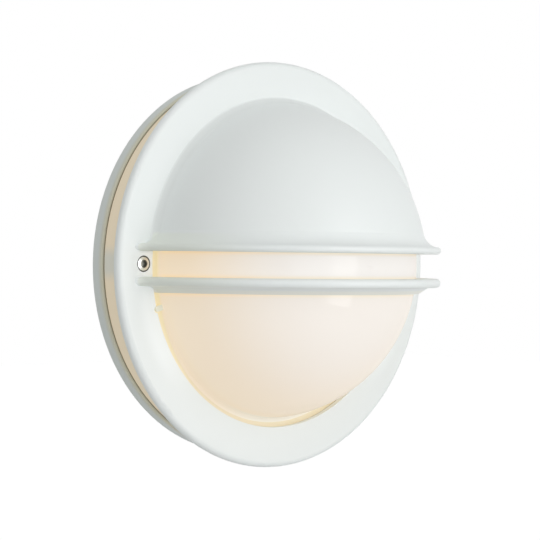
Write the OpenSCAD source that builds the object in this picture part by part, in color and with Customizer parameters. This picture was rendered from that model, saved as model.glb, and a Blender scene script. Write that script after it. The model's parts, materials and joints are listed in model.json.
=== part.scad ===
// Round bulkhead wall light with an opal diffuser and a cast cover with a half hood.
// The wall is the plane Y = 0, the light faces -Y and +Z is up. Millimetres.
// Profiles are drawn as [radius, distance from the wall] and turned out of the wall by out().

/* [Base housing] */
// Outer radius of the base at the wall
base_r = 122.5; // [116:0.5:130]
// How much smaller the base is at its front edge
base_draft = 0.5; // [0.2:0.1:1]
// Depth of the base's side
base_h = 8.4; // [8:0.2:11]
// Thickness of the base's floor
base_floor = 3; // [2.5:0.5:4]
// Width of the solid ring that carries the seals
base_ring_w = 7.5; // [7:0.5:9]
// Rounding of the base's front edge
base_edge = 1.4; // [0.8:0.2:2]
// Radius of the pillars for the cover screws
pillar_r = 6.2; // [5.6:0.2:6.6]
// Gap between a pillar and the skirt
pillar_gap = 1.2; // [0.5:0.1:1.4]
// Height of the small bosses above the floor
boss_h = 3; // [2.5:0.5:4]

/* [Seals] */
// Depth of the seal grooves
groove_d = 2.5; // [2:0.25:3]
// Gap on each side of a seal in its groove
groove_gap = 0.1; // [0.05:0.05:0.2]
// Width of the seal between base and diffuser
seal_w = 2.3; // [2:0.1:2.5]
// Open seam between base and diffuser
seam = 1; // [0.6:0.1:1.4]
// Width of the sponge ring towards the wall
wall_seal_w = 3.6; // [3:0.2:4.4]
// Thickness of the seal between diffuser and cover
cover_seal_t = 1.5; // [1:0.25:2]
// Width of the seal between diffuser and cover
cover_seal_w = 3.4; // [3:0.2:4]

/* [Diffuser] */
// Distance from the base's front edge in to the skirt
skirt_inset = 1.5; // [1.4:0.1:2.2]
// Wall of the skirt
skirt_t = 2.5; // [2:0.1:3]
// Height of the skirt that glows as a band
skirt_h = 21.4; // [19:0.2:25]
// Thickness of the flange behind the cover
flange_t = 2.8; // [2.4:0.2:3.2]
// Width of the flange from the dome's radius to the skirt's outside
flange_w = 20.9; // [20.5:0.1:23]
// Wall of the dome
dome_t = 2.6; // [2:0.2:3.2]
// How far the dome's centre lies behind the cover's face
dome_back = 18; // [14:0.2:19]
// Fillet between dome and flange
dome_root = 3.5; // [2.5:0.5:4]
// Width of the locating nib
nib_w = 3.4; // [3:0.1:5]
// How far the nib reaches out from the dome's radius
nib_reach = 4.8; // [4:0.2:6]
// Depth of the nib's front below the cover's face
nib_drop = 0.8; // [0.4:0.1:1.6]
// Angle of the nib below the horizontal
nib_angle = 15.5; // [12:0.5:22]
// Gap between the sides of the nib and the cover's notch
notch_side_gap = 0.5; // [0.3:0.1:0.8]
// Gap between the nib's tip and the notch's end
notch_end_gap = 1.5; // [1:0.1:2]

/* [Cover] */
// How far the rim reaches past the skirt
rim_reach = 9.5; // [8.5:0.5:11]
// Thickness of the rim's plate
rim_t = 3.7; // [3.2:0.1:4.2]
// Rounding of the rim's front edge
rim_round = 4; // [2.5:0.5:5]
// Rounding of the rim's rear edge
rim_rear_round = 0.6; // [0.4:0.1:1.2]
// Wall of the rim's edge
rim_edge_t = 3.4; // [3:0.2:4]
// Open ring between the dome and the cover's bore, at the face
bore_gap = 6.2; // [5.6:0.2:6.8]
// Gap between dome and hood
hood_gap = 3; // [2.4:0.2:3.6]
// Wall of the hood
hood_t = 3.4; // [3:0.2:4]
// Radius of the flare where the hood runs into the rim
hood_root = 12; // [8:0.5:14]
// Height of that flare's centre over the rim's face
hood_root_h = 9.5; // [6:0.5:12]
// Half the height of the slot between the lips
slot_half = 7.85; // [7:0.05:10]
// How far the lips reach past the hood
lip_reach = 9.1; // [7.5:0.1:9.8]
// Thickness of the hood's lip
hood_lip_t = 4.6; // [4:0.2:5.4]
// Radius of the flare between hood and lip
flare_r = 12; // [10:0.5:13]
// Radius of the flare where a lip runs into the rim
lip_root = 12; // [10:0.5:14]
// Height of that flare's centre over the rim's face
lip_root_h = 10; // [8:0.2:10.4]
// Thickness of the lower bar's lip
bar_lip_t = 5.6; // [5:0.2:6.4]
// Gap between dome and lower bar
bar_gap = 1.6; // [1.2:0.2:2.2]
// Height of the lower bar's taper below its lip
bar_taper_h = 4.1; // [3.4:0.1:5.4]
// Radial width of the lower bar's taper
bar_taper_w = 5.9; // [5:0.1:7]

/* [Cover screws] */
// Thread radius of a cover screw
cover_screw_r = 2.5; // [2:0.1:3]
// Head radius of a cover screw
cover_head_r = 4.2; // [3.9:0.1:4.6]
// Head height of a cover screw
cover_head_h = 2.7; // [2.3:0.1:3]
// Rise of the rounded top of that head
head_crown = 0.6; // [0.3:0.1:1.2]
// Length of a cover screw's shank
cover_screw_l = 20; // [17:1:22]
// Size of the socket across its flats
socket_af = 4; // [3.4:0.2:4.4]
// Gap between a screw's head and its counterbore
cover_head_gap = 0.8; // [0.6:0.1:1]
// How far a cover screw's head stands out of the face
head_proud = 0.4; // [0:0.1:0.8]

/* [Wall fixing] */
// Distance between the two wall screw holes
fix_spacing = 150; // [120:1:160]
// Radius of a wall screw hole
fix_r = 2.75; // [2.25:0.25:3.25]
// Radius of the bore through the cable grommet
cable_r = 5; // [4:0.5:6]
// Height of the cable entry above the lamp's axis
cable_y = 14; // [8:1:20]

/* [Lamp] */
// Distance of the bulb's axis from the wall
lamp_d = 53; // [52:1:56]
// Radius of the bulb's globe
globe_r = 30; // [25:1:32]
// Whole length of the bulb
bulb_l = 108; // [100:1:110]
// Height of the bulb's cap end above the lamp's axis
cap_end_y = 62; // [60:1:64]
// Radius of the bulb's screw cap
cap_r = 13.2; // [13:0.1:13.4]
// Length of the bulb's screw cap
cap_l = 25; // [23:1:27]
// Radius of the bulb's neck
neck_r = 13.6; // [13.3:0.1:13.9]
// Radius of the concave shoulder between neck and globe
shoulder_r = 40; // [30:1:50]
// Outer radius of the lampholder at its mouth
holder_r = 21; // [20:0.5:23]
// Length of the lampholder
holder_l = 38; // [36:1:42]
// Wall of the lampholder's threaded sleeve
shell_t = 0.6; // [0.4:0.1:0.8]
// Thickness of the lampholder's bracket
bracket_t = 1.5; // [1.2:0.1:2]
// Width of the lampholder's bracket
bracket_w = 36; // [32:1:42]
// Length of the bracket's foot
bracket_foot = 26; // [24:1:30]

/* [Reflector] */
// Distance of the reflector's plate from the wall
reflector_d = 20; // [19:0.5:22]
// Thickness of the reflector's plate
reflector_t = 1; // [0.8:0.1:1.4]
// Gap between the reflector's edge and the dome's inside
reflector_gap = 1; // [0.6:0.1:2]
// Width of the reflector's sloping edge
reflector_edge_w = 12; // [9:1:14]
// Rise of the reflector's edge
reflector_rise = 7; // [4:1:8]
// Radius of a reflector post
post_r = 4; // [3.5:0.5:5]

/* [Terminals] */
// Height of the terminal block's centre, below the lamp's axis
block_y = 42; // [38:1:46]
// Distance between two poles
pole_pitch = 9; // [9:0.5:11]
// Length of the terminal block along its wires
block_l = 17; // [15:1:20]
// Height of the terminal block
block_h = 12; // [11:0.5:13]
// Outer radius of a brass clamp
clamp_r = 2.6; // [2.3:0.1:2.8]
// Bore radius of a brass clamp
clamp_bore_r = 1.6; // [1.5:0.1:1.8]
// Radius of a lead's insulation
lead_r = 1.2; // [1:0.1:1.4]
// Distance of the earth screw from the block's centre
earth_x = 30; // [26:1:36]

/* [Hidden] */

// Facets of large, middle and small round forms
fn_large = 180;
fn_mid = 64;
fn_small = 32;
// Overlap of cutting tools past a face
past = 1;
// Clearances: of a thread in its hole, of a screw in a free hole, of a cover screw in the cover and the
// diffuser, of a bare lead in its clamp, and the space left under the end of a screw
thread_gap = 0.05;
hole_gap = 0.2;
cover_hole_gap = 0.4;
lead_gap = 0.1;
screw_end_gap = 0.5;
// How deep a fillet's arc bites past the tangent point, so that the surfaces cross, and how deep its block
// reaches into the forms that it joins
bite = 0.04;
root_d = 1;
// Thickness of the rim's plate that stays behind a lip's foot
lip_foot_cover = 0.8;

// Radii of the stack, from the base in to the dome
base_front_r = base_r - base_draft;
skirt_r = base_front_r - skirt_inset;
skirt_in_r = skirt_r - skirt_t;
dome_r = skirt_r - flange_w;
dome_in_r = dome_r - dome_t;
skirt_mid_r = skirt_r - skirt_t / 2;
reflector_r = dome_in_r - reflector_gap;
reflector_flat_r = reflector_r - reflector_edge_w;
post_circle_r = reflector_flat_r - post_r;
screw_x = skirt_in_r - pillar_gap - pillar_r;

// Distances from the wall
skirt_z = base_h + seam;
flange_z = skirt_z + skirt_h;
flange_back_z = flange_z - flange_t;
plate_z = flange_z + cover_seal_t;
face_z = plate_z + rim_t;
dome_z = face_z - dome_back;

// The cover's radii
rim_r = skirt_r + rim_reach;
bore_r = sqrt(pow(dome_r, 2) - pow(dome_back, 2)) + bore_gap;
hood_in_r = dome_r + hood_gap;
hood_r = hood_in_r + hood_t;
lip_r = hood_r + lip_reach;
bar_in_r = dome_r + bar_gap;

// Inner levels
boss_z = base_floor + boss_h;
back_wall = 10;
holder_back_y = cap_end_y + back_wall;
globe_y = cap_end_y - bulb_l + globe_r;
cap_gap = 0.3;
cavity_r = cap_r + cap_gap + shell_t;
block_w = 3 * pole_pitch;
block_z = boss_z;
block_top = block_z + block_h;

// Turns a form drawn out of the ground so that it comes out of the wall
module out() { rotate([90, 0, 0]) children(); }

// A ring turned about the lamp's axis: from radius a to radius b, from depth z1 to depth z2
module ring(a, b, z1, z2) {
    rotate_extrude($fn = fn_large) translate([a, z1]) square([b - a, z2 - z1]);
}

// A round hole or peg from depth z1 to depth z2 at the place p
module peg(p, r, z1, z2, fn = fn_mid) {
    translate([p[0], p[1], z1]) cylinder(r = r, h = z2 - z1, $fn = fn);
}

// Section of a fillet: the block from the arc's centre c to points inside the two forms, cut by the arc
module fillet_section(c, r, inside) {
    difference() {
        polygon(concat([c], inside));
        translate(c) circle(r = r, $fn = fn_large);
    }
}

// Socket head screw along Z: the head stands on z = 0, its top is a shallow ball, and the shank goes down
module socket_screw(head_r, head_h, crown, shank_r, shank_l, af) {
    ball = (pow(head_r, 2) + pow(crown, 2)) / (2 * crown);
    socket_d = head_h * 0.75;
    difference() {
        union() {
            rotate_extrude($fn = fn_mid) intersection() {
                translate([0, head_h - ball]) circle(r = ball, $fn = fn_large);
                square([head_r, head_h]);
            }
            translate([0, 0, -shank_l]) cylinder(r = shank_r, h = shank_l + head_h / 3, $fn = fn_small);
        }
        translate([0, 0, head_h - socket_d]) cylinder(r = af / sqrt(3), h = head_h, $fn = 6);
    }
}

// Cheese head screw along Z with a slot
module slot_screw(head_r, head_h, shank_r, shank_l) {
    slot_w = head_r / 3;
    difference() {
        union() {
            cylinder(r = head_r, h = head_h, $fn = fn_small);
            translate([0, 0, -shank_l]) cylinder(r = shank_r, h = shank_l + head_h / 2, $fn = fn_small);
        }
        translate([-head_r - past, -slot_w / 2, head_h / 2]) cube([2 * (head_r + past), slot_w, head_h]);
    }
}

// A lead along a smooth curve through hand-chosen points, as one eight sided tube
function unit(v) = v / norm(v);
function spline(p, i, t) =
    let (a = p[max(i - 1, 0)], b = p[i], c = p[i + 1], d = p[min(i + 2, len(p) - 1)])
    0.5 * (2 * b + (c - a) * t + (2 * a - 5 * b + 4 * c - d) * t * t + (3 * b - a - 3 * c + d) * t * t * t);
function smooth(p, n) = concat(
    [for (i = [0 : len(p) - 2], k = [0 : n - 1]) spline(p, i, k / n)], [p[len(p) - 1]]);
function tangent(q, i) = unit(q[min(i + 1, len(q) - 1)] - q[max(i - 1, 0)]);
module lead(points, r, side, steps = 4) {
    q = smooth(points, steps);
    n = len(q);
    m = 8;
    verts = [for (i = [0 : n - 1], k = [0 : m - 1])
        let (t = tangent(q, i), u = unit(cross(t, side)), v = cross(t, u), a = 360 * k / m)
        q[i] + r * (cos(a) * u + sin(a) * v)];
    walls = [for (i = [0 : n - 2], k = [0 : m - 1])
        let (a = i * m + k, b = i * m + (k + 1) % m) [a, b, b + m, a + m]];
    ends = [[for (k = [m - 1 : -1 : 0]) k], [for (k = [0 : m - 1]) (n - 1) * m + k]];
    polyhedron(points = verts, faces = concat(walls, ends));
}

// Places of the small fixings, as [across, up] on the base's floor
fix_places = [[-fix_spacing / 2, 0], [fix_spacing / 2, 0]];
post_places = [for (a = [30, 150, 270]) post_circle_r * [cos(a), sin(a)]];
foot_inset = 7;
foot_y = holder_back_y + bracket_t - bracket_foot * 0.73;
foot_places = [for (s = [-1, 1]) [s * (bracket_w / 2 - foot_inset), foot_y]];
pillar_places = [[-screw_x, 0], [screw_x, 0]];
earth_place = [-earth_x, -block_y];
block_fix_place = [pole_pitch / 2, -block_y];
// Level of the clamps in the terminal block, and how deep its screw heads and grooves go in
clamp_z = block_z + block_h * 0.4;
block_groove_d = 3;
boss_wall = 3.2;
small_screw_r = 1.5;
small_head_r = 2.8;
small_head_h = 2;
small_l = 6;
block_screw_r = 1.25;
block_screw_l = 4;
block_head_r = 2.25;
block_head_h = 1.6;
earth_screw_r = 2;
earth_head_h = 2.6;
earth_l = 5;
washer_t = 1;
cover_seat_z = face_z - cover_head_h + head_proud;
cover_hole_r = cover_head_r + cover_head_gap;

// Section of the base, as [radius, distance from the wall]
module base_section() {
    inner = base_r - base_ring_w;
    square([inner + past, base_floor]);
    polygon([
        [inner, 0], [base_r, 0], [base_front_r, base_h - base_edge],
        [base_front_r - base_edge, base_h - base_edge], [base_front_r - base_edge, base_h],
        [inner, base_h]]);
    translate([base_front_r - base_edge, base_h - base_edge]) circle(r = base_edge, $fn = fn_mid);
}

wall_seal_mid_r = base_r - base_ring_w / 2;
grommet_r = cable_r + 3;

module base_housing() {
    color("gainsboro") out() difference() {
        union() {
            rotate_extrude($fn = fn_large) base_section();
            for (p = pillar_places) peg(p, pillar_r, 0, flange_back_z);
            for (p = post_places) peg(p, post_r, 0, reflector_d);
            for (p = fix_places) peg(p, fix_r + boss_wall, 0, boss_z);
            for (p = foot_places) peg(p, small_screw_r + boss_wall, 0, boss_z);
            peg(earth_place, earth_screw_r + boss_wall, 0, boss_z);
            translate([-block_w / 2, -block_y - block_l / 2, 0]) cube([block_w, block_l, boss_z]);
        }
        ring(wall_seal_mid_r - wall_seal_w / 2 - groove_gap, wall_seal_mid_r + wall_seal_w / 2 + groove_gap,
             -past, groove_d);
        ring(skirt_mid_r - seal_w / 2 - groove_gap, skirt_mid_r + seal_w / 2 + groove_gap,
             base_h - groove_d, base_h + past);
        for (p = pillar_places)
            peg(p, cover_screw_r + thread_gap, cover_seat_z - cover_screw_l - past, flange_back_z + past);
        for (p = post_places) peg(p, small_screw_r + thread_gap, reflector_d - small_l, reflector_d + past);
        for (p = fix_places) peg(p, fix_r, -past, boss_z + past);
        for (p = foot_places)
            peg(p, small_screw_r + thread_gap, boss_z - small_l + bracket_t, boss_z + past);
        peg(earth_place, earth_screw_r + thread_gap, boss_z - earth_l, boss_z + past);
        peg(block_fix_place, block_screw_r + thread_gap, boss_z - block_screw_l, boss_z + past);
        peg([0, cable_y], grommet_r, -past, base_floor + past);
    }
}

module wall_gasket() {
    color("dimgray") out()
        ring(wall_seal_mid_r - wall_seal_w / 2, wall_seal_mid_r + wall_seal_w / 2, 0, groove_d);
}

module cable_grommet() {
    collar_r = grommet_r + 2.5;
    collar_z = base_floor + 2;
    nose_z = collar_z + 4;
    nose_wall = 1.4;
    color("black") out() translate([0, cable_y, 0]) difference() {
        rotate_extrude($fn = fn_mid) polygon([
            [0, 0], [grommet_r, 0], [grommet_r, base_floor], [collar_r, base_floor],
            [collar_r, collar_z], [cable_r + nose_wall + 1, collar_z],
            [cable_r + nose_wall, nose_z], [0, nose_z]]);
        translate([0, 0, -past]) cylinder(r = cable_r, h = nose_z + 2 * past, $fn = fn_mid);
    }
}

poles = [-pole_pitch, 0, pole_pitch];
clamp_screw_y = block_l / 4;
clamp_screw_r = 1.2;
clamp_head_r = 1.7;
clamp_head_h = 2.2;
clamp_l = block_l - 3;

module terminal_block() {
    groove_w = 1.6;
    color("white") out() difference() {
        translate([-block_w / 2, -block_y - block_l / 2, block_z]) cube([block_w, block_l, block_h]);
        for (x = poles) {
            translate([x, -block_y, clamp_z]) rotate([90, 0, 0])
                cylinder(r = clamp_r, h = block_l + 2 * past, center = true, $fn = fn_small);
            for (s = [-1, 1])
                peg([x, -block_y + s * clamp_screw_y], clamp_head_r + hole_gap, clamp_z, block_top + past);
        }
        for (s = [-1, 1])
            translate([s * pole_pitch / 2 - groove_w / 2, block_low_y - past, block_top - block_groove_d])
                cube([groove_w, block_l + 2 * past, block_groove_d + past]);
        peg(block_fix_place, block_screw_r + thread_gap, block_z - past, block_z + block_h);
        peg(block_fix_place, block_head_r + hole_gap, block_top - block_groove_d, block_top + past);
    }
}

module terminal_clamps() {
    color("goldenrod") out() for (x = poles) difference() {
        translate([x, -block_y, clamp_z]) rotate([90, 0, 0])
            cylinder(r = clamp_r, h = clamp_l, center = true, $fn = fn_small);
        translate([x, -block_y, clamp_z]) rotate([90, 0, 0])
            cylinder(r = clamp_bore_r, h = clamp_l + 2 * past, center = true, $fn = fn_small);
        for (s = [-1, 1])
            peg([x, -block_y + s * clamp_screw_y], clamp_screw_r + thread_gap,
                clamp_z, clamp_z + clamp_r + past);
    }
}

module terminal_screws() {
    head_z = clamp_z + clamp_r;
    color("silver") out() for (x = poles, s = [-1, 1])
        translate([x, -block_y + s * clamp_screw_y, head_z])
            slot_screw(clamp_head_r, clamp_head_h, clamp_screw_r, head_z - clamp_z - lead_r - lead_gap);
}

module terminal_fixing_screw() {
    color("silver") out() translate([block_fix_place[0], block_fix_place[1], block_top - block_groove_d])
        slot_screw(block_head_r, block_head_h, block_screw_r,
                   block_h - block_groove_d + block_screw_l - screw_end_gap);
}

module earth_screw() {
    head_z = boss_z + washer_t + 2 * lead_r;
    color("silver") out() translate([earth_place[0], earth_place[1], head_z])
        slot_screw(2 * earth_screw_r, earth_head_h, earth_screw_r, head_z - boss_z + earth_l - screw_end_gap);
}

module earth_washer() {
    color("silver") out() translate([earth_place[0], earth_place[1], 0]) difference() {
        translate([0, 0, boss_z]) cylinder(r = earth_screw_r + 2.6, h = washer_t, $fn = fn_mid);
        translate([0, 0, boss_z - past])
            cylinder(r = earth_screw_r + hole_gap, h = washer_t + 2 * past, $fn = fn_mid);
    }
}

// The bracket: a foot on the floor, a plate behind the lampholder and a fold between them
holder_back_r = holder_r - 4;
holder_screw_x = 10;
fold_r = 3;
module lampholder_bracket() {
    plate_top = lamp_d + holder_back_r - 3;
    back_y = holder_back_y;
    front_y = back_y + bracket_t;
    color("lightsteelblue") out() difference() {
        translate([-bracket_w / 2, 0, 0]) rotate([90, 0, 90]) linear_extrude(bracket_w) {
            translate([front_y - bracket_foot, boss_z]) square([bracket_foot - fold_r, bracket_t]);
            translate([back_y, boss_z + fold_r]) square([bracket_t, plate_top - boss_z - fold_r]);
            translate([front_y - fold_r, boss_z + fold_r]) intersection() {
                difference() {
                    circle(r = fold_r, $fn = fn_mid);
                    circle(r = fold_r - bracket_t, $fn = fn_mid);
                }
                translate([0, -fold_r]) square(fold_r);
            }
        }
        for (p = foot_places) peg(p, small_screw_r + hole_gap, 0, boss_z + bracket_t + past);
        for (s = [-1, 1])
            translate([s * holder_screw_x, back_y - past, lamp_d]) rotate([-90, 0, 0])
                cylinder(r = small_screw_r + hole_gap, h = bracket_t + 2 * past, $fn = fn_mid);
    }
}

module bracket_screws() {
    color("silver") out() for (p = foot_places) translate([p[0], p[1], boss_z + bracket_t])
        slot_screw(small_head_r, small_head_h, small_screw_r, small_l - screw_end_gap);
}

module holder_screws() {
    color("silver") out() for (s = [-1, 1])
        translate([s * holder_screw_x, holder_back_y + bracket_t, lamp_d]) rotate([-90, 0, 0])
            slot_screw(small_head_r, small_head_h, small_screw_r, small_l - screw_end_gap);
}

// Places of the wire entries and clamp screws in the lampholder's back
entry_x = 6;
entry_y = holder_back_y - 4;
entry_z = lamp_d - 9;
contact_screw_x = 11;
contact_head_r = 2.3;
contact_r = 2.2;
contact_l = 6.5;
contact_plate_t = 1;

// Moves a form drawn on the Z axis to the bulb's axis
module on_lamp_axis(h) { translate([0, -lamp_d, h]) children(); }

module lampholder_body() {
    mouth_y = holder_back_y - holder_l;
    step_y = holder_back_y - holder_l * 0.42;
    cavity_end_y = cap_end_y + contact_plate_t + screw_end_gap;
    color("ivory") difference() {
        on_lamp_axis(0) rotate_extrude($fn = fn_mid) polygon([
            [0, mouth_y], [holder_r - 1, mouth_y], [holder_r, mouth_y + 1], [holder_r, step_y - 4],
            [holder_back_r, step_y], [holder_back_r, holder_back_y], [0, holder_back_y]]);
        on_lamp_axis(mouth_y - past)
            cylinder(r = cavity_r, h = cavity_end_y - mouth_y + past, $fn = fn_mid);
        on_lamp_axis(cap_end_y)
            cylinder(r = contact_r + lead_gap, h = contact_l + screw_end_gap, $fn = fn_small);
        out() for (s = [-1, 1]) {
            peg([s * entry_x, entry_y], lead_r + hole_gap, holder_wall_z - past, entry_z + lead_r, fn_small);
            translate([0, entry_y, entry_z]) rotate([0, s * 90, 0]) {
                cylinder(r = small_screw_r + thread_gap, h = holder_back_r, $fn = fn_small);
                translate([0, 0, contact_screw_x])
                    cylinder(r = contact_head_r + hole_gap, h = holder_back_r, $fn = fn_small);
            }
            translate([s * holder_screw_x, holder_back_y - small_l + bracket_t, lamp_d]) rotate([-90, 0, 0])
                cylinder(r = small_screw_r + thread_gap, h = small_l, $fn = fn_small);
        }
    }
}

module lampholder_shell() {
    color("goldenrod") on_lamp_axis(cap_end_y - cap_l - 1) difference() {
        cylinder(r = cavity_r, h = cap_l - 2, $fn = fn_mid);
        translate([0, 0, -past]) cylinder(r = cavity_r - shell_t, h = cap_l, $fn = fn_mid);
    }
}

module centre_contact() {
    color("goldenrod") on_lamp_axis(cap_end_y) {
        cylinder(r = 5, h = contact_plate_t, $fn = fn_small);
        cylinder(r = contact_r, h = contact_l, $fn = fn_small);
    }
}

module contact_screws() {
    color("goldenrod") out() for (s = [-1, 1])
        translate([s * contact_screw_x, entry_y, entry_z]) rotate([0, s * 90, 0])
            slot_screw(contact_head_r, 1.8, small_screw_r, contact_screw_x - entry_x - lead_r - lead_gap);
}

// Section of the bulb about its axis, with the globe's centre at the origin
module bulb_section() {
    contact_h = 2.5;
    nose_r = 4.5;
    cap_top = bulb_l - globe_r - contact_h;
    neck_top = cap_top - cap_l;
    shoulder_x = neck_r + shoulder_r - bite;
    shoulder_h = sqrt(pow(globe_r + shoulder_r - bite, 2) - pow(shoulder_x, 2));
    centre = [shoulder_x, shoulder_h];
    intersection() {
        circle(r = globe_r, $fn = fn_large);
        translate([0, -globe_r]) square([globe_r, 2 * globe_r]);
    }
    fillet_section(centre, shoulder_r,
        [[0, shoulder_h], [0, 0], (globe_r - root_d) / norm(centre) * centre]);
    translate([0, shoulder_h - shoulder_r / 4]) square([neck_r, neck_top - shoulder_h + shoulder_r / 4]);
    polygon([[0, neck_top - past], [cap_r, neck_top - past], [cap_r, cap_top - 3], [nose_r + 0.5, cap_top],
             [nose_r, cap_top + contact_h], [0, cap_top + contact_h]]);
}

module bulb() {
    color("snow") on_lamp_axis(globe_y) rotate_extrude($fn = fn_mid) bulb_section();
}

// Shallow dish with a raised edge, cut out where the bracket and the leads come through
module reflector() {
    slot_w = bracket_w + 4;
    slot_low = holder_back_y - 16;
    color("whitesmoke") out() difference() {
        rotate_extrude($fn = fn_large) polygon([
            [0, reflector_d], [reflector_flat_r, reflector_d], [reflector_r, reflector_d + reflector_rise],
            [reflector_r, reflector_d + reflector_rise + reflector_t * 1.2],
            [reflector_flat_r - 0.5, reflector_d + reflector_t], [0, reflector_d + reflector_t]]);
        translate([-slot_w / 2, slot_low, reflector_d - past])
            cube([slot_w, holder_back_y + bracket_t + 2 - slot_low, reflector_t + reflector_rise]);
        for (p = post_places)
            peg(p, small_screw_r + hole_gap, reflector_d - past, reflector_d + reflector_t + past);
    }
}

module reflector_screws() {
    color("silver") out() for (p = post_places) translate([p[0], p[1], reflector_d + reflector_t])
        slot_screw(small_head_r, small_head_h, small_screw_r, small_l - screw_end_gap);
}

// Routes of the leads, as points [across, up, distance from the wall]: out of the block, round the
// cable grommet and into the lampholder, and for the earth a loop below the block to its screw.
// The small steps between the points are chosen by eye.
lead_side = [1, 0.1, 0.2];
lead_bend = 14;
lead_rise = 0.9;
lead_step = 2;
block_end_y = -block_y + block_l / 2;
block_low_y = -block_y - block_l / 2;
lead_end = 4;
lead_bay_x = grommet_r + 7;
lead_bay_z = boss_z + 5.6;
holder_wall_z = lamp_d - holder_back_r;
earth_z = boss_z + washer_t + lead_r;
loop_y = block_low_y - 10.5;
function supply_route(s) = [
    [s * pole_pitch, block_end_y - lead_end, clamp_z], [s * pole_pitch, block_end_y + lead_end, clamp_z],
    [s * (lead_bay_x - 1.5 * lead_step), cable_y - 2 * lead_bend, lead_bay_z + lead_rise],
    [s * lead_bay_x, cable_y - 3 * lead_step, lead_bay_z],
    [s * (lead_bay_x - lead_step / 2), cable_y + lead_bend, lead_bay_z + lead_rise],
    [s * (entry_x + lead_step), holder_back_y - 2 * lead_bend, lead_bay_z + lead_step],
    [s * entry_x, holder_back_y - lead_bend, lead_bay_z + 7 * lead_rise],
    [s * entry_x, entry_y - lead_step, holder_wall_z - lead_bend + 3],
    [s * entry_x, entry_y, holder_wall_z - 2 * lead_step],
    [s * entry_x, entry_y, holder_wall_z + lead_step / 2],
    [s * entry_x, entry_y, entry_z]];
earth_route = [
    [0, block_low_y + lead_end, clamp_z], [0, block_low_y - lead_end, clamp_z],
    [-earth_x * 0.27, loop_y, clamp_z - 1.3], [-earth_x * 0.67, loop_y, earth_z + 0.4],
    [-earth_x, block_low_y - 3.5, earth_z], [-earth_x, -block_y - earth_screw_r - lead_r, earth_z]];

module live_lead() { color("saddlebrown") out() lead(supply_route(1), lead_r, lead_side); }
module neutral_lead() { color("royalblue") out() lead(supply_route(-1), lead_r, lead_side); }
module earth_lead() { color("limegreen") out() lead(earth_route, lead_r, [0.1, 0.2, 1]); }

module base_seal() {
    color("black") out()
        ring(skirt_mid_r - seal_w / 2, skirt_mid_r + seal_w / 2, base_h - groove_d, skirt_z);
}

// Section of the diffuser: dome, fillet, flange and skirt
module diffuser_section() {
    corner = 1.4;
    root_z = flange_z + dome_root - bite - dome_z;
    root_x = sqrt(pow(dome_r + dome_root - bite, 2) - pow(root_z, 2));
    centre = [root_x, root_z];
    intersection() {
        translate([0, dome_z]) difference() {
            circle(r = dome_r, $fn = fn_large);
            circle(r = dome_in_r, $fn = fn_large);
        }
        translate([0, flange_back_z]) square(2 * dome_r);
    }
    translate([dome_in_r + dome_t / 2, flange_back_z])
        square([skirt_r - corner - dome_in_r - dome_t / 2, flange_t]);
    translate([skirt_in_r, skirt_z]) square([skirt_t, skirt_h - corner]);
    translate([skirt_r - corner, flange_z - corner]) circle(r = corner, $fn = fn_mid);
    translate([0, dome_z]) fillet_section(centre, dome_root, [
        [root_x, flange_z - dome_z - root_d], [dome_r - dome_t / 2, flange_z - dome_z - root_d],
        (dome_r - root_d) / norm(centre) * centre]);
}

// The nib, or the notch round it, as a bar with a round end that reaches the radius end_r
module nib_shape(half, end_r, z1, z2) {
    start = dome_in_r + cover_hole_gap;
    rotate([0, 0, 180 + nib_angle]) {
        translate([start, -half, z1]) cube([end_r - half - start, 2 * half, z2 - z1]);
        peg([end_r - half, 0], half, z1, z2, fn_small);
    }
}
nib_tip_r = dome_r + nib_reach;

module diffuser() {
    color("papayawhip") out() difference() {
        union() {
            rotate_extrude($fn = fn_large) diffuser_section();
            nib_shape(nib_w / 2, nib_tip_r, flange_z - past, face_z - nib_drop);
        }
        for (p = pillar_places)
            peg(p, cover_screw_r + cover_hole_gap, flange_back_z - past, flange_z + past);
    }
}

cover_seal_mid_r = skirt_in_r - cover_seal_w / 2 - groove_gap;
module diffuser_seal() {
    color("darkgray") out()
        ring(cover_seal_mid_r - cover_seal_w / 2, cover_seal_mid_r + cover_seal_w / 2, flange_z, plate_z);
}

// Section of the rim: plate, rounded edge and the ring that centres it on the diffuser
module rim_section() {
    edge_z = face_z - rim_round;
    locator_t = 2;
    locator_gap = 0.8;
    translate([bore_r, plate_z]) square([rim_r - rim_round - bore_r, rim_t]);
    intersection() {
        translate([rim_r - rim_round, edge_z]) circle(r = rim_round, $fn = fn_mid);
        translate([rim_r - rim_round, edge_z]) square(rim_round);
    }
    translate([rim_r - rim_edge_t, edge_z - rim_rear_round])
        square([rim_edge_t - rim_rear_round, rim_rear_round]);
    intersection() {
        translate([rim_r - rim_rear_round, edge_z]) circle(r = rim_rear_round, $fn = fn_mid);
        translate([rim_r - rim_rear_round, edge_z - rim_rear_round]) square(rim_rear_round);
    }
    translate([skirt_r + locator_gap, plate_z - locator_t]) square([locator_t, locator_t + past]);
}

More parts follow.
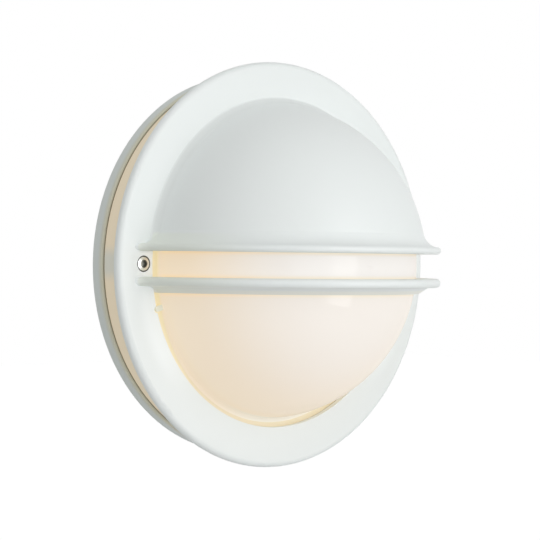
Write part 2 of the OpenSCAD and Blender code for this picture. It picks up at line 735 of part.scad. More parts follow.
// Section of the hood about the upright axis through the dome's centre, filled to that axis:
// ball above the slot, rounded lip, and the flare whose arc touches the ball and runs out on the lip's top
module hood_section() {
    nose_r = hood_lip_t / 2;
    land = 1;
    runout = [lip_r - nose_r - land, slot_half + hood_lip_t];
    reach = hood_r + flare_r - bite;
    along = (pow(reach, 2) - pow(flare_r, 2) + runout * runout) / (2 * norm(runout));
    across = sqrt(pow(reach, 2) - pow(along, 2));
    dir = runout / norm(runout);
    centre = along * dir + across * [-dir[1], dir[0]];
    intersection() {
        circle(r = hood_r, $fn = fn_large);
        translate([0, slot_half]) square(hood_r);
    }
    translate([0, slot_half]) square([lip_r - nose_r, hood_lip_t]);
    translate([lip_r - nose_r, slot_half + nose_r]) circle(r = nose_r, $fn = fn_mid);
    fillet_section(centre, flare_r, [
        runout + [0.8 * land, -root_d], [dome_r, runout[1] - root_d], (hood_r - root_d) / reach * centre]);
}

// Section of the lower bar: rounded lip, sloping underside and taper, hollowed by a ball
module bar_section() {
    nose_r = bar_lip_t / 2;
    low = slot_half + bar_lip_t;
    knee = [hood_r + 1.2, -low - 0.3];
    inner = dome_r - 2 * dome_t;
    difference() {
        union() {
            polygon([
                [inner, -slot_half], [lip_r - nose_r, -slot_half], [lip_r - nose_r, -low], knee,
                [knee[0] - bar_taper_w, -low - bar_taper_h], [inner, -low - bar_taper_h]]);
            translate([lip_r - nose_r, -slot_half - nose_r]) circle(r = nose_r, $fn = fn_mid);
        }
        circle(r = bar_in_r, $fn = fn_large);
    }
}

// Turns a section about the upright axis and keeps the part in front of the rim's plate
module in_front_of_plate() {
    intersection() {
        translate([0, -dome_z, 0]) rotate_extrude($fn = fn_large) children();
        translate([-2 * rim_r, -3 * rim_r - plate_z - 1, -rim_r]) cube([4 * rim_r, 3 * rim_r, 2 * rim_r]);
    }
}

// Section of the flare between rim and hood, about the lamp's axis. Its arc crosses the rim's face at an angle.
module hood_root_section() {
    root_z = dome_back + hood_root_h;
    root_x = sqrt(pow(hood_r + hood_root - bite, 2) - pow(root_z, 2));
    centre = [root_x, root_z];
    translate([0, dome_z]) fillet_section(centre, hood_root, [
        [root_x, dome_back - root_d], [hood_r - hood_t / 2, dome_back - root_d],
        (hood_r - root_d) / norm(centre) * centre]);
}

// Flare where a lip of thickness t, whose underside is at h, runs into the rim's face.
// Its section is the lip's round nose; the part behind the rim's face is cut off inside the plate.
module lip_root_flare(t, h) {
    nose_r = t / 2;
    cx = sqrt(pow(lip_r + lip_root - bite, 2) - pow(dome_back + lip_root_h, 2));
    turn = atan((dome_back + lip_root_h) / cx);
    for (s = [0, 1]) mirror([s, 0, 0]) intersection() {
        translate([cx, -face_z - lip_root_h, h])
            rotate_extrude(start = 90, angle = 90 - turn, $fn = fn_large) {
                translate([lip_root + nose_r, 0]) square([t, t]);
                translate([lip_root + nose_r, nose_r]) circle(r = nose_r, $fn = fn_mid);
            }
        translate([0, -face_z - 2 * lip_root_h, h])
            cube([rim_r, 2 * lip_root_h + rim_t - lip_foot_cover, t]);
    }
}

module front_cover() {
    color("white") difference() {
        union() {
            difference() {
                union() {
                    in_front_of_plate() hood_section();
                    out() intersection() {
                        union() {
                            ring(dome_in_r, bore_r + 2 * past, plate_z, face_z);
                            rotate_extrude($fn = fn_large) hood_root_section();
                        }
                        translate([-rim_r, slot_half, plate_z]) cube([2 * rim_r, rim_r, rim_r]);
                    }
                }
                translate([0, -dome_z, 0]) sphere(r = hood_in_r, $fn = fn_large);
            }
            out() rotate_extrude($fn = fn_large) rim_section();
            in_front_of_plate() bar_section();
            lip_root_flare(hood_lip_t, slot_half);
            lip_root_flare(bar_lip_t, -slot_half - bar_lip_t);
        }
        out() {
            for (p = pillar_places) {
                peg(p, cover_screw_r + cover_hole_gap, plate_z - past, face_z + past);
                peg(p, cover_hole_r, cover_seat_z, face_z + past);
            }
            nib_shape(nib_w / 2 + notch_side_gap, nib_tip_r + notch_end_gap, plate_z - past, face_z + past);
        }
    }
}

module cover_screws() {
    color("silver") out() for (p = pillar_places) translate([p[0], p[1], cover_seat_z])
        socket_screw(cover_head_r, cover_head_h, head_crown, cover_screw_r, cover_screw_l, socket_af);
}

module screw_seals() {
    color("black") out() for (p = pillar_places) translate([p[0], p[1], 0])
        ring(cover_head_r + thread_gap, cover_hole_r - thread_gap, cover_seat_z, face_z - 0.3);
}

base_housing();
wall_gasket();
cable_grommet();
terminal_block();
terminal_clamps();
terminal_screws();
terminal_fixing_screw();
earth_screw();
earth_washer();
lampholder_bracket();
bracket_screws();
holder_screws();
lampholder_body();
lampholder_shell();
centre_contact();
contact_screws();
bulb();
reflector();
reflector_screws();
live_lead();
neutral_lead();
earth_lead();
base_seal();
diffuser();
diffuser_seal();
front_cover();
cover_screws();
screw_seals();
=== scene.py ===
"""Looks of a round bulkhead wall light: a white cast cover with a half hood over a glowing opal dome."""

import json
import math

import bpy
from mathutils import Matrix, Vector


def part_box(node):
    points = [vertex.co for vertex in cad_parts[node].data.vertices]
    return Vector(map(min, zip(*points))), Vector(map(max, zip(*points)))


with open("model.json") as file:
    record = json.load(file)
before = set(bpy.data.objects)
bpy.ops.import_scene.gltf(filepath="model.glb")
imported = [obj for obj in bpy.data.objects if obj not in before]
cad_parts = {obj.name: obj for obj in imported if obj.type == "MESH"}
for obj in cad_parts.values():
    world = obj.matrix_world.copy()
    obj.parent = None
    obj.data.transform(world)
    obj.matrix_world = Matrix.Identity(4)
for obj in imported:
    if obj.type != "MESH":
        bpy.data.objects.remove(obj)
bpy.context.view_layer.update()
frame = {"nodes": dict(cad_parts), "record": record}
nodes = frame["nodes"]
slot_of = {entry["node"]: entry["material_slot"] for entry in frame["record"]["subparts"]}

MM = 0.001


# Camera

# The photograph's width and height, and its lens's focal length, in pixels
IMAGE_PX = 540
FOCAL_PX = 1901.9
SENSOR_MM = 36.0
# The camera stands to the light's left, a little raised and a little rolled
CAMERA_TURN = math.radians(-41.13)
CAMERA_RISE = math.radians(0.36)
CAMERA_ROLL = math.radians(-0.67)
# Metres from the wall to a point on the light's axis, and from that point to the camera
AIM_DEPTH = 0.031
CAMERA_DISTANCE = 1.2247
# The pixel at which the photograph shows that point
AIM_PX = (275.94, 264.80)
# How far the camera sees, in metres
CAMERA_REACH = 50


def direction(turn, rise):
    """Unit vector from the light into the room, turned to the right and raised by these angles."""
    return Vector((math.sin(turn) * math.cos(rise), -math.cos(turn) * math.cos(rise), math.sin(rise)))


def place_camera():
    """Camera at the photograph's angle.

    Back, right and up are its axes before the roll. It looks straight past the point on the light's axis,
    moved aside so that the point shows at the photograph's pixel.
    """
    back = direction(CAMERA_TURN, CAMERA_RISE)
    right = Vector((math.cos(CAMERA_TURN), math.sin(CAMERA_TURN), 0))
    up = back.cross(right)
    per_px = CAMERA_DISTANCE / FOCAL_PX
    move_left = (AIM_PX[0] - IMAGE_PX / 2) * per_px
    move_up = (AIM_PX[1] - IMAGE_PX / 2) * per_px
    aim = Vector((0, -AIM_DEPTH, 0))
    place = aim + back * CAMERA_DISTANCE - right * move_left + up * move_up
    side = math.cos(CAMERA_ROLL) * right - math.sin(CAMERA_ROLL) * up
    top = math.sin(CAMERA_ROLL) * right + math.cos(CAMERA_ROLL) * up
    data = bpy.data.cameras.new("camera")
    data.sensor_width = SENSOR_MM
    data.lens = FOCAL_PX / IMAGE_PX * SENSOR_MM
    data.clip_end = CAMERA_REACH
    camera = bpy.data.objects.new("camera", data)
    camera.matrix_world = Matrix.Translation(place) @ Matrix((side, top, back)).transposed().to_4x4()
    bpy.context.scene.collection.objects.link(camera)
    bpy.context.scene.camera = camera


place_camera()


# Node building

# Where a Mix node has its two colours and its result
MIX_FIRST = 6
MIX_SECOND = 7
MIX_RESULT = 2
# The one shader that each material has
SHADER = "Principled BSDF"


def set_inputs(node, values):
    """Sets inputs of a node to fixed values. An underscore in a name stands for a space."""
    for name, value in values.items():
        node.inputs[name.replace("_", " ")].default_value = value


def add(tree, kind, links=None, **values):
    """Adds a shader node, sets inputs to values and links the inputs that are given in links."""
    node = tree.nodes.new(kind)
    set_inputs(node, values)
    for name, source in (links or {}).items():
        tree.links.new(source, node.inputs[name])
    return node


def math_node(tree, operation, first, second=0.0):
    """One Math node. Its two terms are numbers or sockets."""
    node = tree.nodes.new("ShaderNodeMath")
    node.operation = operation
    for socket, term in zip(node.inputs, (first, second)):
        if isinstance(term, (int, float)):
            socket.default_value = term
        else:
            tree.links.new(term, socket)
    return node.outputs[0]


def hypotenuse(tree, first, second):
    """Root of the sum of two squares."""
    squares = (math_node(tree, "MULTIPLY", term, term) for term in (first, second))
    return math_node(tree, "SQRT", math_node(tree, "ADD", *squares))


def ramp(tree, value, begin, full):
    """Smooth step of a value: 0 at begin and 1 at full."""
    node = add(tree, "ShaderNodeMapRange", {"Value": value}, From_Min=begin, From_Max=full)
    node.interpolation_type = "SMOOTHSTEP"
    return node.outputs["Result"]


def mix_colour(tree, factor, first, second):
    """Mixes two colours. Each is an RGBA tuple or a socket."""
    node = tree.nodes.new("ShaderNodeMix")
    node.data_type = "RGBA"
    tree.links.new(factor, node.inputs["Factor"])
    for place, colour in ((MIX_FIRST, first), (MIX_SECOND, second)):
        if isinstance(colour, tuple):
            node.inputs[place].default_value = colour
        else:
            tree.links.new(colour, node.inputs[place])
    return node.outputs[MIX_RESULT]


def group(name, inputs, outputs):
    """Starts a shader node group with these inputs and their values, and these outputs."""
    tree = bpy.data.node_groups.new(name, "ShaderNodeTree")
    for label, value in inputs.items():
        socket = tree.interface.new_socket(label, in_out="INPUT", socket_type="NodeSocketFloat")
        socket.default_value = value
    for label in outputs:
        tree.interface.new_socket(label, in_out="OUTPUT", socket_type="NodeSocketFloat")
    return tree, tree.nodes.new("NodeGroupInput"), tree.nodes.new("NodeGroupOutput")


def use(tree, made, **values):
    """Places a group in a material with its own values."""
    node = tree.nodes.new("ShaderNodeGroup")
    node.node_tree = made
    set_inputs(node, values)
    return node


def shader(name, colour, roughness, **values):
    """A material with one Principled shader, its fixed values set on the shader's own sockets."""
    made = bpy.data.materials.new(name)
    made.use_nodes = True
    made.diffuse_color = (*colour, 1)
    set_inputs(made.node_tree.nodes[SHADER], {"Base Color": (*colour, 1), "Roughness": roughness, **values})
    return made


def feed(made, label, source):
    """Links a socket to an input of a material's shader."""
    made.node_tree.links.new(source, made.node_tree.nodes[SHADER].inputs[label])


# Sizes of the light, in millimetres

def depths(node):
    """How far out of the wall a node begins and ends."""
    low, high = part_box(node)
    return -high.y / MM, -low.y / MM


# Out of the wall. The diffuser's seal lies between its flange and the cover's plate
FLANGE_DEPTH, PLATE_DEPTH = depths("diffuser_seal")
PLATE_THICKNESS = 3.7
FACE_DEPTH = PLATE_DEPTH + PLATE_THICKNESS
SKIRT_DEPTH, _ = depths("diffuser")
SEAM_WIDTH = 1.0
SEAM_DEPTH = SKIRT_DEPTH - SEAM_WIDTH
# From the light's axis: the dome's foot, the edge of the flange's amber painted shade and the cover's bore
FOOT_RADIUS = 98.6
AMBER_RADIUS = 101.55
BORE_RADIUS = 104.2
# The amber painted shade starts closer in at the sides, by this factor
SIDE_STRETCH = 1.03
# Heads and sockets of the cover screws
SCREW_HEAD_RADIUS = 4.2
SOCKET_RADIUS = 2.45
# From the middle plane to either side: the cover screws' axes and the lips' ends
_, SCREWS_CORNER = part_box("cover_screws")
SCREW_X = SCREWS_CORNER.x / MM - SCREW_HEAD_RADIUS
LIP_END = 112.0
# Up and down from the slot's middle: the lips' edges at the slot, and the underside of the bar
SLOT_HALF = 7.85
BAR_BOTTOM = 17.55


# Effects shared by several materials

# Finer steps of the grain's noise, and the noise's mean
GRAIN_DETAIL = 2.0
NOISE_MEAN = 0.5


def make_grain():
    """Fine grain: the height of a soft noise of the given size, and a roughness that varies with it."""
    tree, given, out = group(
        "fine_grain", {"Size mm": 1.0, "Roughness": 0.4, "Spread": 0.05}, ("Height", "Roughness"))
    place = tree.nodes.new("ShaderNodeTexCoord").outputs["Object"]
    per_metre = math_node(tree, "DIVIDE", 1 / MM, given.outputs["Size mm"])
    noise = add(tree, "ShaderNodeTexNoise", {"Vector": place, "Scale": per_metre}, Detail=GRAIN_DETAIL)
    height = noise.outputs["Fac"]
    centred = math_node(tree, "SUBTRACT", height, NOISE_MEAN)
    change = math_node(tree, "MULTIPLY", centred, given.outputs["Spread"])
    tree.links.new(height, out.inputs["Height"])
    tree.links.new(math_node(tree, "ADD", given.outputs["Roughness"], change), out.inputs["Roughness"])
    return tree


def make_lamp_places():
    """Places about the lamp, in millimetres.

    Radius is from the lamp's axis, and Oval is the same with the sides stretched. Depth is out of the wall.
    Height is up from the slot's middle, and Away is height without its sign. Across is from the middle
    plane to either side, and Off screw is from the axis of the cover screw on that side.
    """
    tree, _, out = group(
        "lamp_places", {}, ("Radius", "Oval", "Depth", "Height", "Away", "Across", "Off screw"))
    place = tree.nodes.new("ShaderNodeTexCoord").outputs["Object"]
    apart = add(tree, "ShaderNodeSeparateXYZ", {"Vector": place})
    x, y, z = (math_node(tree, "DIVIDE", apart.outputs[axis], MM) for axis in "XYZ")
    across = math_node(tree, "ABSOLUTE", x)
    places = {
        "Radius": hypotenuse(tree, x, z),
        "Oval": hypotenuse(tree, math_node(tree, "MULTIPLY", across, SIDE_STRETCH), z),
        "Depth": math_node(tree, "MULTIPLY", y, -1.0),
        "Height": z,
        "Away": math_node(tree, "ABSOLUTE", z),
        "Across": across,
        "Off screw": hypotenuse(tree, math_node(tree, "SUBTRACT", across, SCREW_X), z),
    }
    for name, value in places.items():
        tree.links.new(value, out.inputs[name])
    return tree


grain = make_grain()
lamp_places = make_lamp_places()


def grained(name, colour, roughness, size_mm, height_mm, spread=0.05, **values):
    """A material whose roughness and surface vary with a fine grain."""
    made = shader(name, colour, roughness, **values)
    tree = made.node_tree
    texture = use(tree, grain, Size_mm=size_mm, Roughness=roughness, Spread=spread)
    bump = add(
        tree, "ShaderNodeBump", {"Height": texture.outputs["Height"]}, Strength=1.0, Distance=height_mm * MM)
    feed(made, "Roughness", texture.outputs["Roughness"])
    feed(made, "Normal", bump.outputs["Normal"])
    return made


def mask(tree, places, zone):
    """1 inside a zone of the light and 0 outside it: the product of a smooth step for each of its limits."""
    product = 1.0
    for place, begin, full in zone:
        product = math_node(tree, "MULTIPLY", product, ramp(tree, places.outputs[place], begin, full))
    return product


def tinted(tree, places, colour, *tints):
    """Lays tints over a colour one after the other, each in its own zone."""
    for zone, tint in tints:
        colour = mix_colour(tree, mask(tree, places, zone), colour, tint)
    return colour


# Zones of the light. A zone is a tuple of limits, and a limit is the name of a place, where the zone
# begins there and where it is full

# Limits that several zones share
AT_FACE = ("Depth", FACE_DEPTH + 0.6, FACE_DEPTH + 0.2)
AT_LIPS = ("Away", BAR_BOTTOM + 2.5, BAR_BOTTOM)
# On the cover
ON_LIPS = (AT_LIPS, ("Depth", FACE_DEPTH + 0.5, FACE_DEPTH + 1.5))
# Painted warm light from the glass and a little painted shade at the lips' ends
GLOW_AND_SHADE_PAINTED_AT_LIP_ENDS = (*ON_LIPS, ("Across", LIP_END - 40, LIP_END))
# Painted warm light from the glass on the bar's underside
GLOW_PAINTED_UNDER_BAR = (*ON_LIPS, ("Height", 3.0 - BAR_BOTTOM, 1.5 - BAR_BOTTOM))
# Painted glow: the glass's light on the face between the lips
GLOW_PAINTED_BESIDE_SLOT = (AT_FACE, ("Radius", BORE_RADIUS + 16, BORE_RADIUS + 2), ("Away", SLOT_HALF, SLOT_HALF - 1.5))
# Painted light on the face beside the bore, from the slot down
LIGHT_PAINTED_BESIDE_BORE = (
    AT_FACE, ("Radius", BORE_RADIUS + 16, BORE_RADIUS + 6), ("Height", SLOT_HALF + 1, SLOT_HALF - 1),
    ("Height", -85, -50))
# Painted shade in the hollow where the hood runs into the rim
SHADE_PAINTED_AT_HOOD_ROOT = (
    ("Depth", FACE_DEPTH + 7, FACE_DEPTH + 3.5), ("Depth", FACE_DEPTH + 0.1, FACE_DEPTH + 1.2),
    ("Height", 12, 22))
# On the base
# Painted warm light from the skirt on the base beside the seam
GLOW_PAINTED_BY_SEAM = (("Depth", SEAM_DEPTH - 4, SEAM_DEPTH - 0.3),)
# On the diffuser
TOWARDS_FRONT = (("Depth", 50, 115),)
# Painted light on the glass in the slot
LIGHT_PAINTED_IN_SLOT = (("Away", SLOT_HALF + 1, SLOT_HALF - 1),)
# Painted shade of the lips, amber, on the glass beside them
SHADE_PAINTED_BY_LIPS = (AT_LIPS, ("Away", SLOT_HALF - 2.4, SLOT_HALF))
# Painted reflection of the white face on the dome's foot
REFLECTION_PAINTED_AT_DOME_FOOT = (("Depth", FACE_DEPTH + 3, FACE_DEPTH - 2),)
FOOT_SIDES = (("Across", 10, 60),)
# Painted shade, amber, on the flange under the bore's edge
SHADE_PAINTED_AT_AMBER_EDGE = (("Oval", AMBER_RADIUS - 0.6, AMBER_RADIUS),)
AMBER_SIDES = (("Across", 60, 90),)
# Painted shade on the glass under the cover's edge
SHADE_PAINTED_UNDER_COVER = (("Radius", BORE_RADIUS, BORE_RADIUS + 0.6),)
# Painted shade on the nib in its notch
NIB = (("Radius", FOOT_RADIUS, FOOT_RADIUS + 0.2), ("Depth", FACE_DEPTH - 2, FACE_DEPTH - 1.5))
SKIRT = (("Depth", FLANGE_DEPTH - 0.2, FLANGE_DEPTH - 1),)
# Painted shadow of the base's pillars on the skirt
SHADOW_PAINTED_BEFORE_PILLAR = (
    ("Across", SCREW_X - 2, SCREW_X + 4), ("Away", 12.5, 3.0), ("Depth", FLANGE_DEPTH + 1, FLANGE_DEPTH))
# On the cover screws
# Painted shade in the screws' hexagon sockets
SHADE_PAINTED_IN_SOCKET = (("Off screw", SOCKET_RADIUS + 0.15, SOCKET_RADIUS),)


# Finishes that show

def make_cover_paint():
    """White powder coat with a faint orange peel.

    It is warmer with painted light from the glass at the lips' ends, which are also a little darker with
    painted shade, and under the bar. It is lighter with painted light on the face beside the bore from the
    slot down, and darker with painted shade in the hollow where the hood runs into the rim. Between the lips
    it carries a painted glow: the faint light that the glass throws on the face.
    """
    plain = (0.815, 0.848, 0.838)
    # Painted light and shade: glow under the bar, light beside the bore, shade at the hood's root, glow and
    # shade at the lips' ends
    painted_glow_under_bar = (0.88, 0.885, 0.82, 1)
    painted_light_beside_bore = (0.895, 0.930, 0.930, 1)
    painted_shade_at_hood_root = (0.740, 0.770, 0.760, 1)
    painted_glow_and_shade_at_lip_ends = (0.795, 0.83, 0.765, 1)
    dark = (0, 0, 0, 1)
    # Painted glow that the glass throws on the face between the lips
    painted_glow_beside_slot = (0.110, 0.100, 0.100, 1)
    made = grained(
        "cover_paint", plain, roughness=0.45, size_mm=1.6, height_mm=0.010, spread=0.10,
        Emission_Strength=1.0)
    tree = made.node_tree
    places = use(tree, lamp_places)
    colour = tinted(
        tree, places, (*plain, 1), (GLOW_PAINTED_UNDER_BAR, painted_glow_under_bar), (LIGHT_PAINTED_BESIDE_BORE, painted_light_beside_bore),
        (SHADE_PAINTED_AT_HOOD_ROOT, painted_shade_at_hood_root), (GLOW_AND_SHADE_PAINTED_AT_LIP_ENDS, painted_glow_and_shade_at_lip_ends))
    feed(made, "Base Color", colour)
    feed(made, "Emission Color", tinted(tree, places, dark, (GLOW_PAINTED_BESIDE_SLOT, painted_glow_beside_slot)))
    return made


def make_base_paint():
    """The cover's powder coat, a shade greyer, and warmer beside the seam with the skirt's light painted on.
    """
    plain = (0.72, 0.76, 0.735)
    # Painted warm light from the skirt beside the seam
    painted_glow_by_seam = (0.70, 0.69, 0.56, 1)
    made = grained("base_paint", plain, roughness=0.48, size_mm=1.6, height_mm=0.010, spread=0.10)
    places = use(made.node_tree, lamp_places)
    feed(made, "Base Color", tinted(made.node_tree, places, (*plain, 1), (GLOW_PAINTED_BY_SEAM, painted_glow_by_seam)))
    return made


# Glow of the lit opal, at the sides and in front: on the open dome, a little brighter with painted light in
# the slot, and amber with the lips' painted shade on the strips beside them
DOME_GLOW = ((0.505, 0.392, 0.262, 1), (0.460, 0.415, 0.385, 1))
SLOT_GLOW_WITH_PAINTED_LIGHT = ((0.530, 0.405, 0.270, 1), (0.450, 0.427, 0.425, 1))
STRIP_GLOW_WITH_PAINTED_SHADE = ((0.60, 0.40, 0.20, 1), (0.48, 0.41, 0.30, 1))
# In the middle and at the sides: the dome's foot paler with a painted reflection, and the flange's edge
# amber with painted shade under the bore
FOOT_GLOW_WITH_PAINTED_REFLECTION = ((0.465, 0.425, 0.350, 1), (0.50, 0.390, 0.275, 1))
AMBER_GLOW_WITH_PAINTED_SHADE = ((0.40, 0.305, 0.14, 1), (0.50, 0.400, 0.195, 1))
# The same all over: painted shade on the glass under the cover's edge and on the nib, the skirt's dimmer
# glow, and the painted shadow of the base's pillars on the skirt
COVERED_GLOW_WITH_PAINTED_SHADE = (0.20, 0.17, 0.11, 1)
NIB_GLOW_WITH_PAINTED_SHADE = (0.33, 0.33, 0.24, 1)
SKIRT_GLOW = (0.34, 0.26, 0.14, 1)
PILLAR_GLOW_WITH_PAINTED_SHADOW = (0.215, 0.215, 0.170, 1)


def make_opal():
    """Opal moulding lit from inside: pale in front, warmer at the sides, a little brighter in the slot with
    painted light.

    The narrow strips beside the metal are amber with painted shade: beside the two lips, below the bar, and
    on the flange round the paler foot of the dome, whose paleness is a painted reflection. The glass under
    the cover's edge is darker and the nib greyer, both with painted shade. The skirt is dimmer, and darker
    still with the painted shadow of the base's pillars that stand behind it.
    """
    made = shader(
        "opal", (0.50, 0.49, 0.46), roughness=0.35, Specular_IOR_Level=0.0, Coat_Weight=0.42,
        Coat_Roughness=0.03, Emission_Strength=1.0)
    tree = made.node_tree
    places = use(tree, lamp_places)
    front = mask(tree, places, TOWARDS_FRONT)
    dome, slot, strips = (mix_colour(tree, front, *glow) for glow in (DOME_GLOW, SLOT_GLOW_WITH_PAINTED_LIGHT, STRIP_GLOW_WITH_PAINTED_SHADE))
    foot = mix_colour(tree, mask(tree, places, FOOT_SIDES), *FOOT_GLOW_WITH_PAINTED_REFLECTION)
    amber = mix_colour(tree, mask(tree, places, AMBER_SIDES), *AMBER_GLOW_WITH_PAINTED_SHADE)
    glow = tinted(
        tree, places, dome, (LIGHT_PAINTED_IN_SLOT, slot), (SHADE_PAINTED_BY_LIPS, strips), (REFLECTION_PAINTED_AT_DOME_FOOT, foot), (SHADE_PAINTED_AT_AMBER_EDGE, amber),
        (SHADE_PAINTED_UNDER_COVER, COVERED_GLOW_WITH_PAINTED_SHADE), (NIB, NIB_GLOW_WITH_PAINTED_SHADE), (SKIRT, SKIRT_GLOW), (SHADOW_PAINTED_BEFORE_PILLAR, PILLAR_GLOW_WITH_PAINTED_SHADOW))
    feed(made, "Emission Color", glow)
    return made


def make_cover_screw_steel():
    """Polished stainless steel, dark with painted shade in the hexagon sockets."""
    bright = (0.80, 0.80, 0.775)
    # Painted shade in the hexagon sockets
    painted_shade_in_socket = (0.20, 0.20, 0.18, 1)
    made = grained("cover_screw_steel", bright, roughness=0.32, size_mm=0.4, height_mm=0.002, Metallic=1.0)
    places = use(made.node_tree, lamp_places)
    feed(made, "Base Color", tinted(made.node_tree, places, (*bright, 1), (SHADE_PAINTED_IN_SOCKET, painted_shade_in_socket)))
    return made


def make_seam_rubber():
    """Rubber of the base's seal, olive brown with the light of the skirt beside it painted on."""
    return grained("painted_glow_seam_rubber", (0.30, 0.25, 0.16), roughness=0.65, size_mm=0.5, height_mm=0.01)


def make_black_rubber():
    """Matt moulded rubber of the screws' seals and the grommet."""
    return grained("black_rubber", (0.030, 0.030, 0.028), roughness=0.65, size_mm=0.5, height_mm=0.01)


# Finishes of the pieces inside and at the back

def make_grey_rubber():
    """Matt moulded rubber of the seal between the flange and the cover."""
    return grained("grey_rubber", (0.12, 0.12, 0.12), roughness=0.65, size_mm=0.5, height_mm=0.01)


def make_sponge():
    """Coarse cellular rubber of the ring against the wall."""
    return grained("sponge", (0.02, 0.02, 0.02), roughness=0.9, size_mm=0.8, height_mm=0.15)


def make_block_plastic():
    """Off white plastic of the terminal block."""
    return grained("block_plastic", (0.78, 0.77, 0.72), roughness=0.45, size_mm=0.6, height_mm=0.01)


def make_brass():
    """Bright brass of clamps, contacts and the lampholder's sleeve."""
    return grained(
        "brass_parts", (0.70, 0.47, 0.16), roughness=0.25, size_mm=0.5, height_mm=0.004, Metallic=1.0)


def make_steel_screws():
    """Plated steel of the small screws and the earth washer."""
    return grained(
        "steel_screws", (0.55, 0.55, 0.56), roughness=0.3, size_mm=0.4, height_mm=0.003, Metallic=1.0)


def make_zinc_plate():
    """Zinc plated sheet of the lampholder's bracket."""
    return grained(
        "zinc_plate", (0.52, 0.54, 0.57), roughness=0.35, size_mm=1.2, height_mm=0.004, Metallic=1.0)


def make_porcelain():
    """Glazed porcelain of the lampholder, with slow waves in the glaze."""
    return grained("porcelain", (0.80, 0.78, 0.72), roughness=0.15, size_mm=3.0, height_mm=0.02)


def make_bulb_glass():
    """Frosted white glass of the bulb."""
    return grained("bulb_glass", (0.85, 0.84, 0.80), roughness=0.2, size_mm=2.0, height_mm=0.002)


def make_white_enamel():
    """Glossy white enamel of the reflector."""
    return grained("white_enamel", (0.84, 0.84, 0.82), roughness=0.2, size_mm=2.5, height_mm=0.01)


def make_lead_brown():
    """Brown insulation of the live lead."""
    return grained("lead_brown", (0.10, 0.035, 0.012), roughness=0.5, size_mm=0.5, height_mm=0.005)


def make_lead_blue():
    """Blue insulation of the neutral lead."""
    return grained("lead_blue", (0.01, 0.05, 0.35), roughness=0.5, size_mm=0.5, height_mm=0.005)


def make_lead_green_yellow():
    """Insulation of the earth lead, green and yellow mixed to one tone."""
    return grained("lead_green_yellow", (0.12, 0.42, 0.02), roughness=0.5, size_mm=0.5, height_mm=0.005)


def finish_nodes():
    """Gives each CAD node the finish of its slot. The base's seal takes a colour with the skirt's light
    painted on.
    """
    finishes = {
        "cover_paint": make_cover_paint(),
        "base_paint": make_base_paint(),
        "opal": make_opal(),
        "cover_screw_steel": make_cover_screw_steel(),
        "black_rubber": make_black_rubber(),
        "grey_rubber": make_grey_rubber(),
        "sponge": make_sponge(),
        "block_plastic": make_block_plastic(),
        "brass_parts": make_brass(),
        "steel_screws": make_steel_screws(),
        "zinc_plate": make_zinc_plate(),
        "porcelain": make_porcelain(),
        "bulb_glass": make_bulb_glass(),
        "white_enamel": make_white_enamel(),
        "lead_brown": make_lead_brown(),
        "lead_blue": make_lead_blue(),
        "lead_green_yellow": make_lead_green_yellow(),
    }
    own_finishes = {"base_seal": make_seam_rubber()}
    for name, piece in nodes.items():
        piece.data.materials.clear()
        piece.data.materials.append(own_finishes.get(name, finishes[slot_of[name]]))


finish_nodes()


# Room: a pale floor, a white backdrop and soft lamps

# The floor's level under the light's axis, and half its width, in metres
FLOOR_LEVEL = -1.1
FLOOR_HALF = 15.0
FLOOR_GREY = (0.75, 0.75, 0.75)
FLOOR_ROUGHNESS = 0.9
FLOOR_GLOW = 0.7
WHITE = (1, 1, 1, 1)
AMBIENT_COLOUR = (0.985, 1.0, 0.995, 1)
AMBIENT_STRENGTH = 0.365
# The point that the lamps face, in metres
LAMP_AIM = Vector((0, -0.05, 0))


def seen_directly(tree):
    """1 for rays from the camera, in mirrors or through glass, and 0 for light on the object."""
    path = tree.nodes.new("ShaderNodeLightPath")
    seen = math_node(tree, "MAXIMUM", path.outputs["Is Camera Ray"], path.outputs["Is Glossy Ray"])
    return math_node(tree, "MAXIMUM", seen, path.outputs["Is Transmission Ray"])


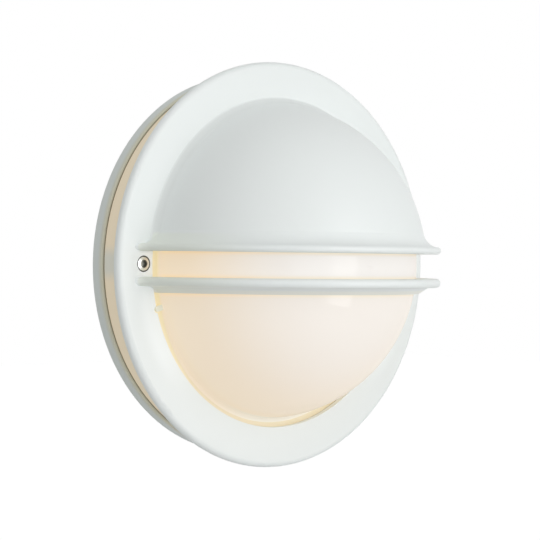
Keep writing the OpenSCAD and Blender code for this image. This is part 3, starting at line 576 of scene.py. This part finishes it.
def make_world():
    """Even ambient light, seen as plain white."""
    world = bpy.data.worlds.new("room")
    bpy.context.scene.world = world
    world.use_nodes = True
    tree = world.node_tree
    tree.nodes.clear()
    ambient = add(tree, "ShaderNodeBackground", Color=AMBIENT_COLOUR, Strength=AMBIENT_STRENGTH)
    white = add(tree, "ShaderNodeBackground", Color=WHITE, Strength=1.0)
    mixed = tree.nodes.new("ShaderNodeMixShader")
    for socket, source in zip(mixed.inputs, (seen_directly(tree), ambient.outputs[0], white.outputs[0])):
        tree.links.new(source, socket)
    add(tree, "ShaderNodeOutputWorld", {"Surface": mixed.outputs[0]})


def make_floor():
    """A wide pale floor that looks white to the camera, and a matt surface to the light on it."""
    sides = ((-1, -1), (1, -1), (1, 1), (-1, 1))
    corners = [(x * FLOOR_HALF, y * FLOOR_HALF, FLOOR_LEVEL) for x, y in sides]
    mesh = bpy.data.meshes.new("floor")
    mesh.from_pydata(corners, [], [(0, 1, 2, 3)])
    floor = bpy.data.objects.new("floor", mesh)
    bpy.context.scene.collection.objects.link(floor)
    made = shader("floor", FLOOR_GREY, FLOOR_ROUGHNESS, Emission_Color=WHITE)
    glow = math_node(made.node_tree, "MULTIPLY", seen_directly(made.node_tree), FLOOR_GLOW)
    feed(made, "Emission Strength", glow)
    mesh.materials.append(made)


def lamp(name, turn, rise, distance, width, height, power):
    """A soft rectangular lamp, turned to the right and raised by degrees, with its sizes in metres."""
    place = direction(math.radians(turn), math.radians(rise)) * distance
    data = bpy.data.lights.new(name, "AREA")
    data.shape = "RECTANGLE"
    data.size = width
    data.size_y = height
    data.energy = power
    holder = bpy.data.objects.new(name, data)
    facing = (LAMP_AIM - place).to_track_quat("-Z", "Y")
    holder.matrix_world = Matrix.Translation(place) @ facing.to_matrix().to_4x4()
    bpy.context.scene.collection.objects.link(holder)


bpy.context.scene.view_settings.view_transform = "Standard"
make_world()
make_floor()
lamp("tall_soft_lamp", turn=19.4, rise=3.0, distance=1.9, width=0.7, height=2.0, power=15.9)
lamp("low_front_lamp", turn=-6.0, rise=0.7, distance=1.9, width=1.0, height=0.6, power=2.9)
lamp("left_fill", turn=-60.0, rise=20.0, distance=2.2, width=2.4, height=2.4, power=11.3)
lamp("top_fill", turn=0.0, rise=62.0, distance=2.2, width=2.4, height=2.4, power=6.8)
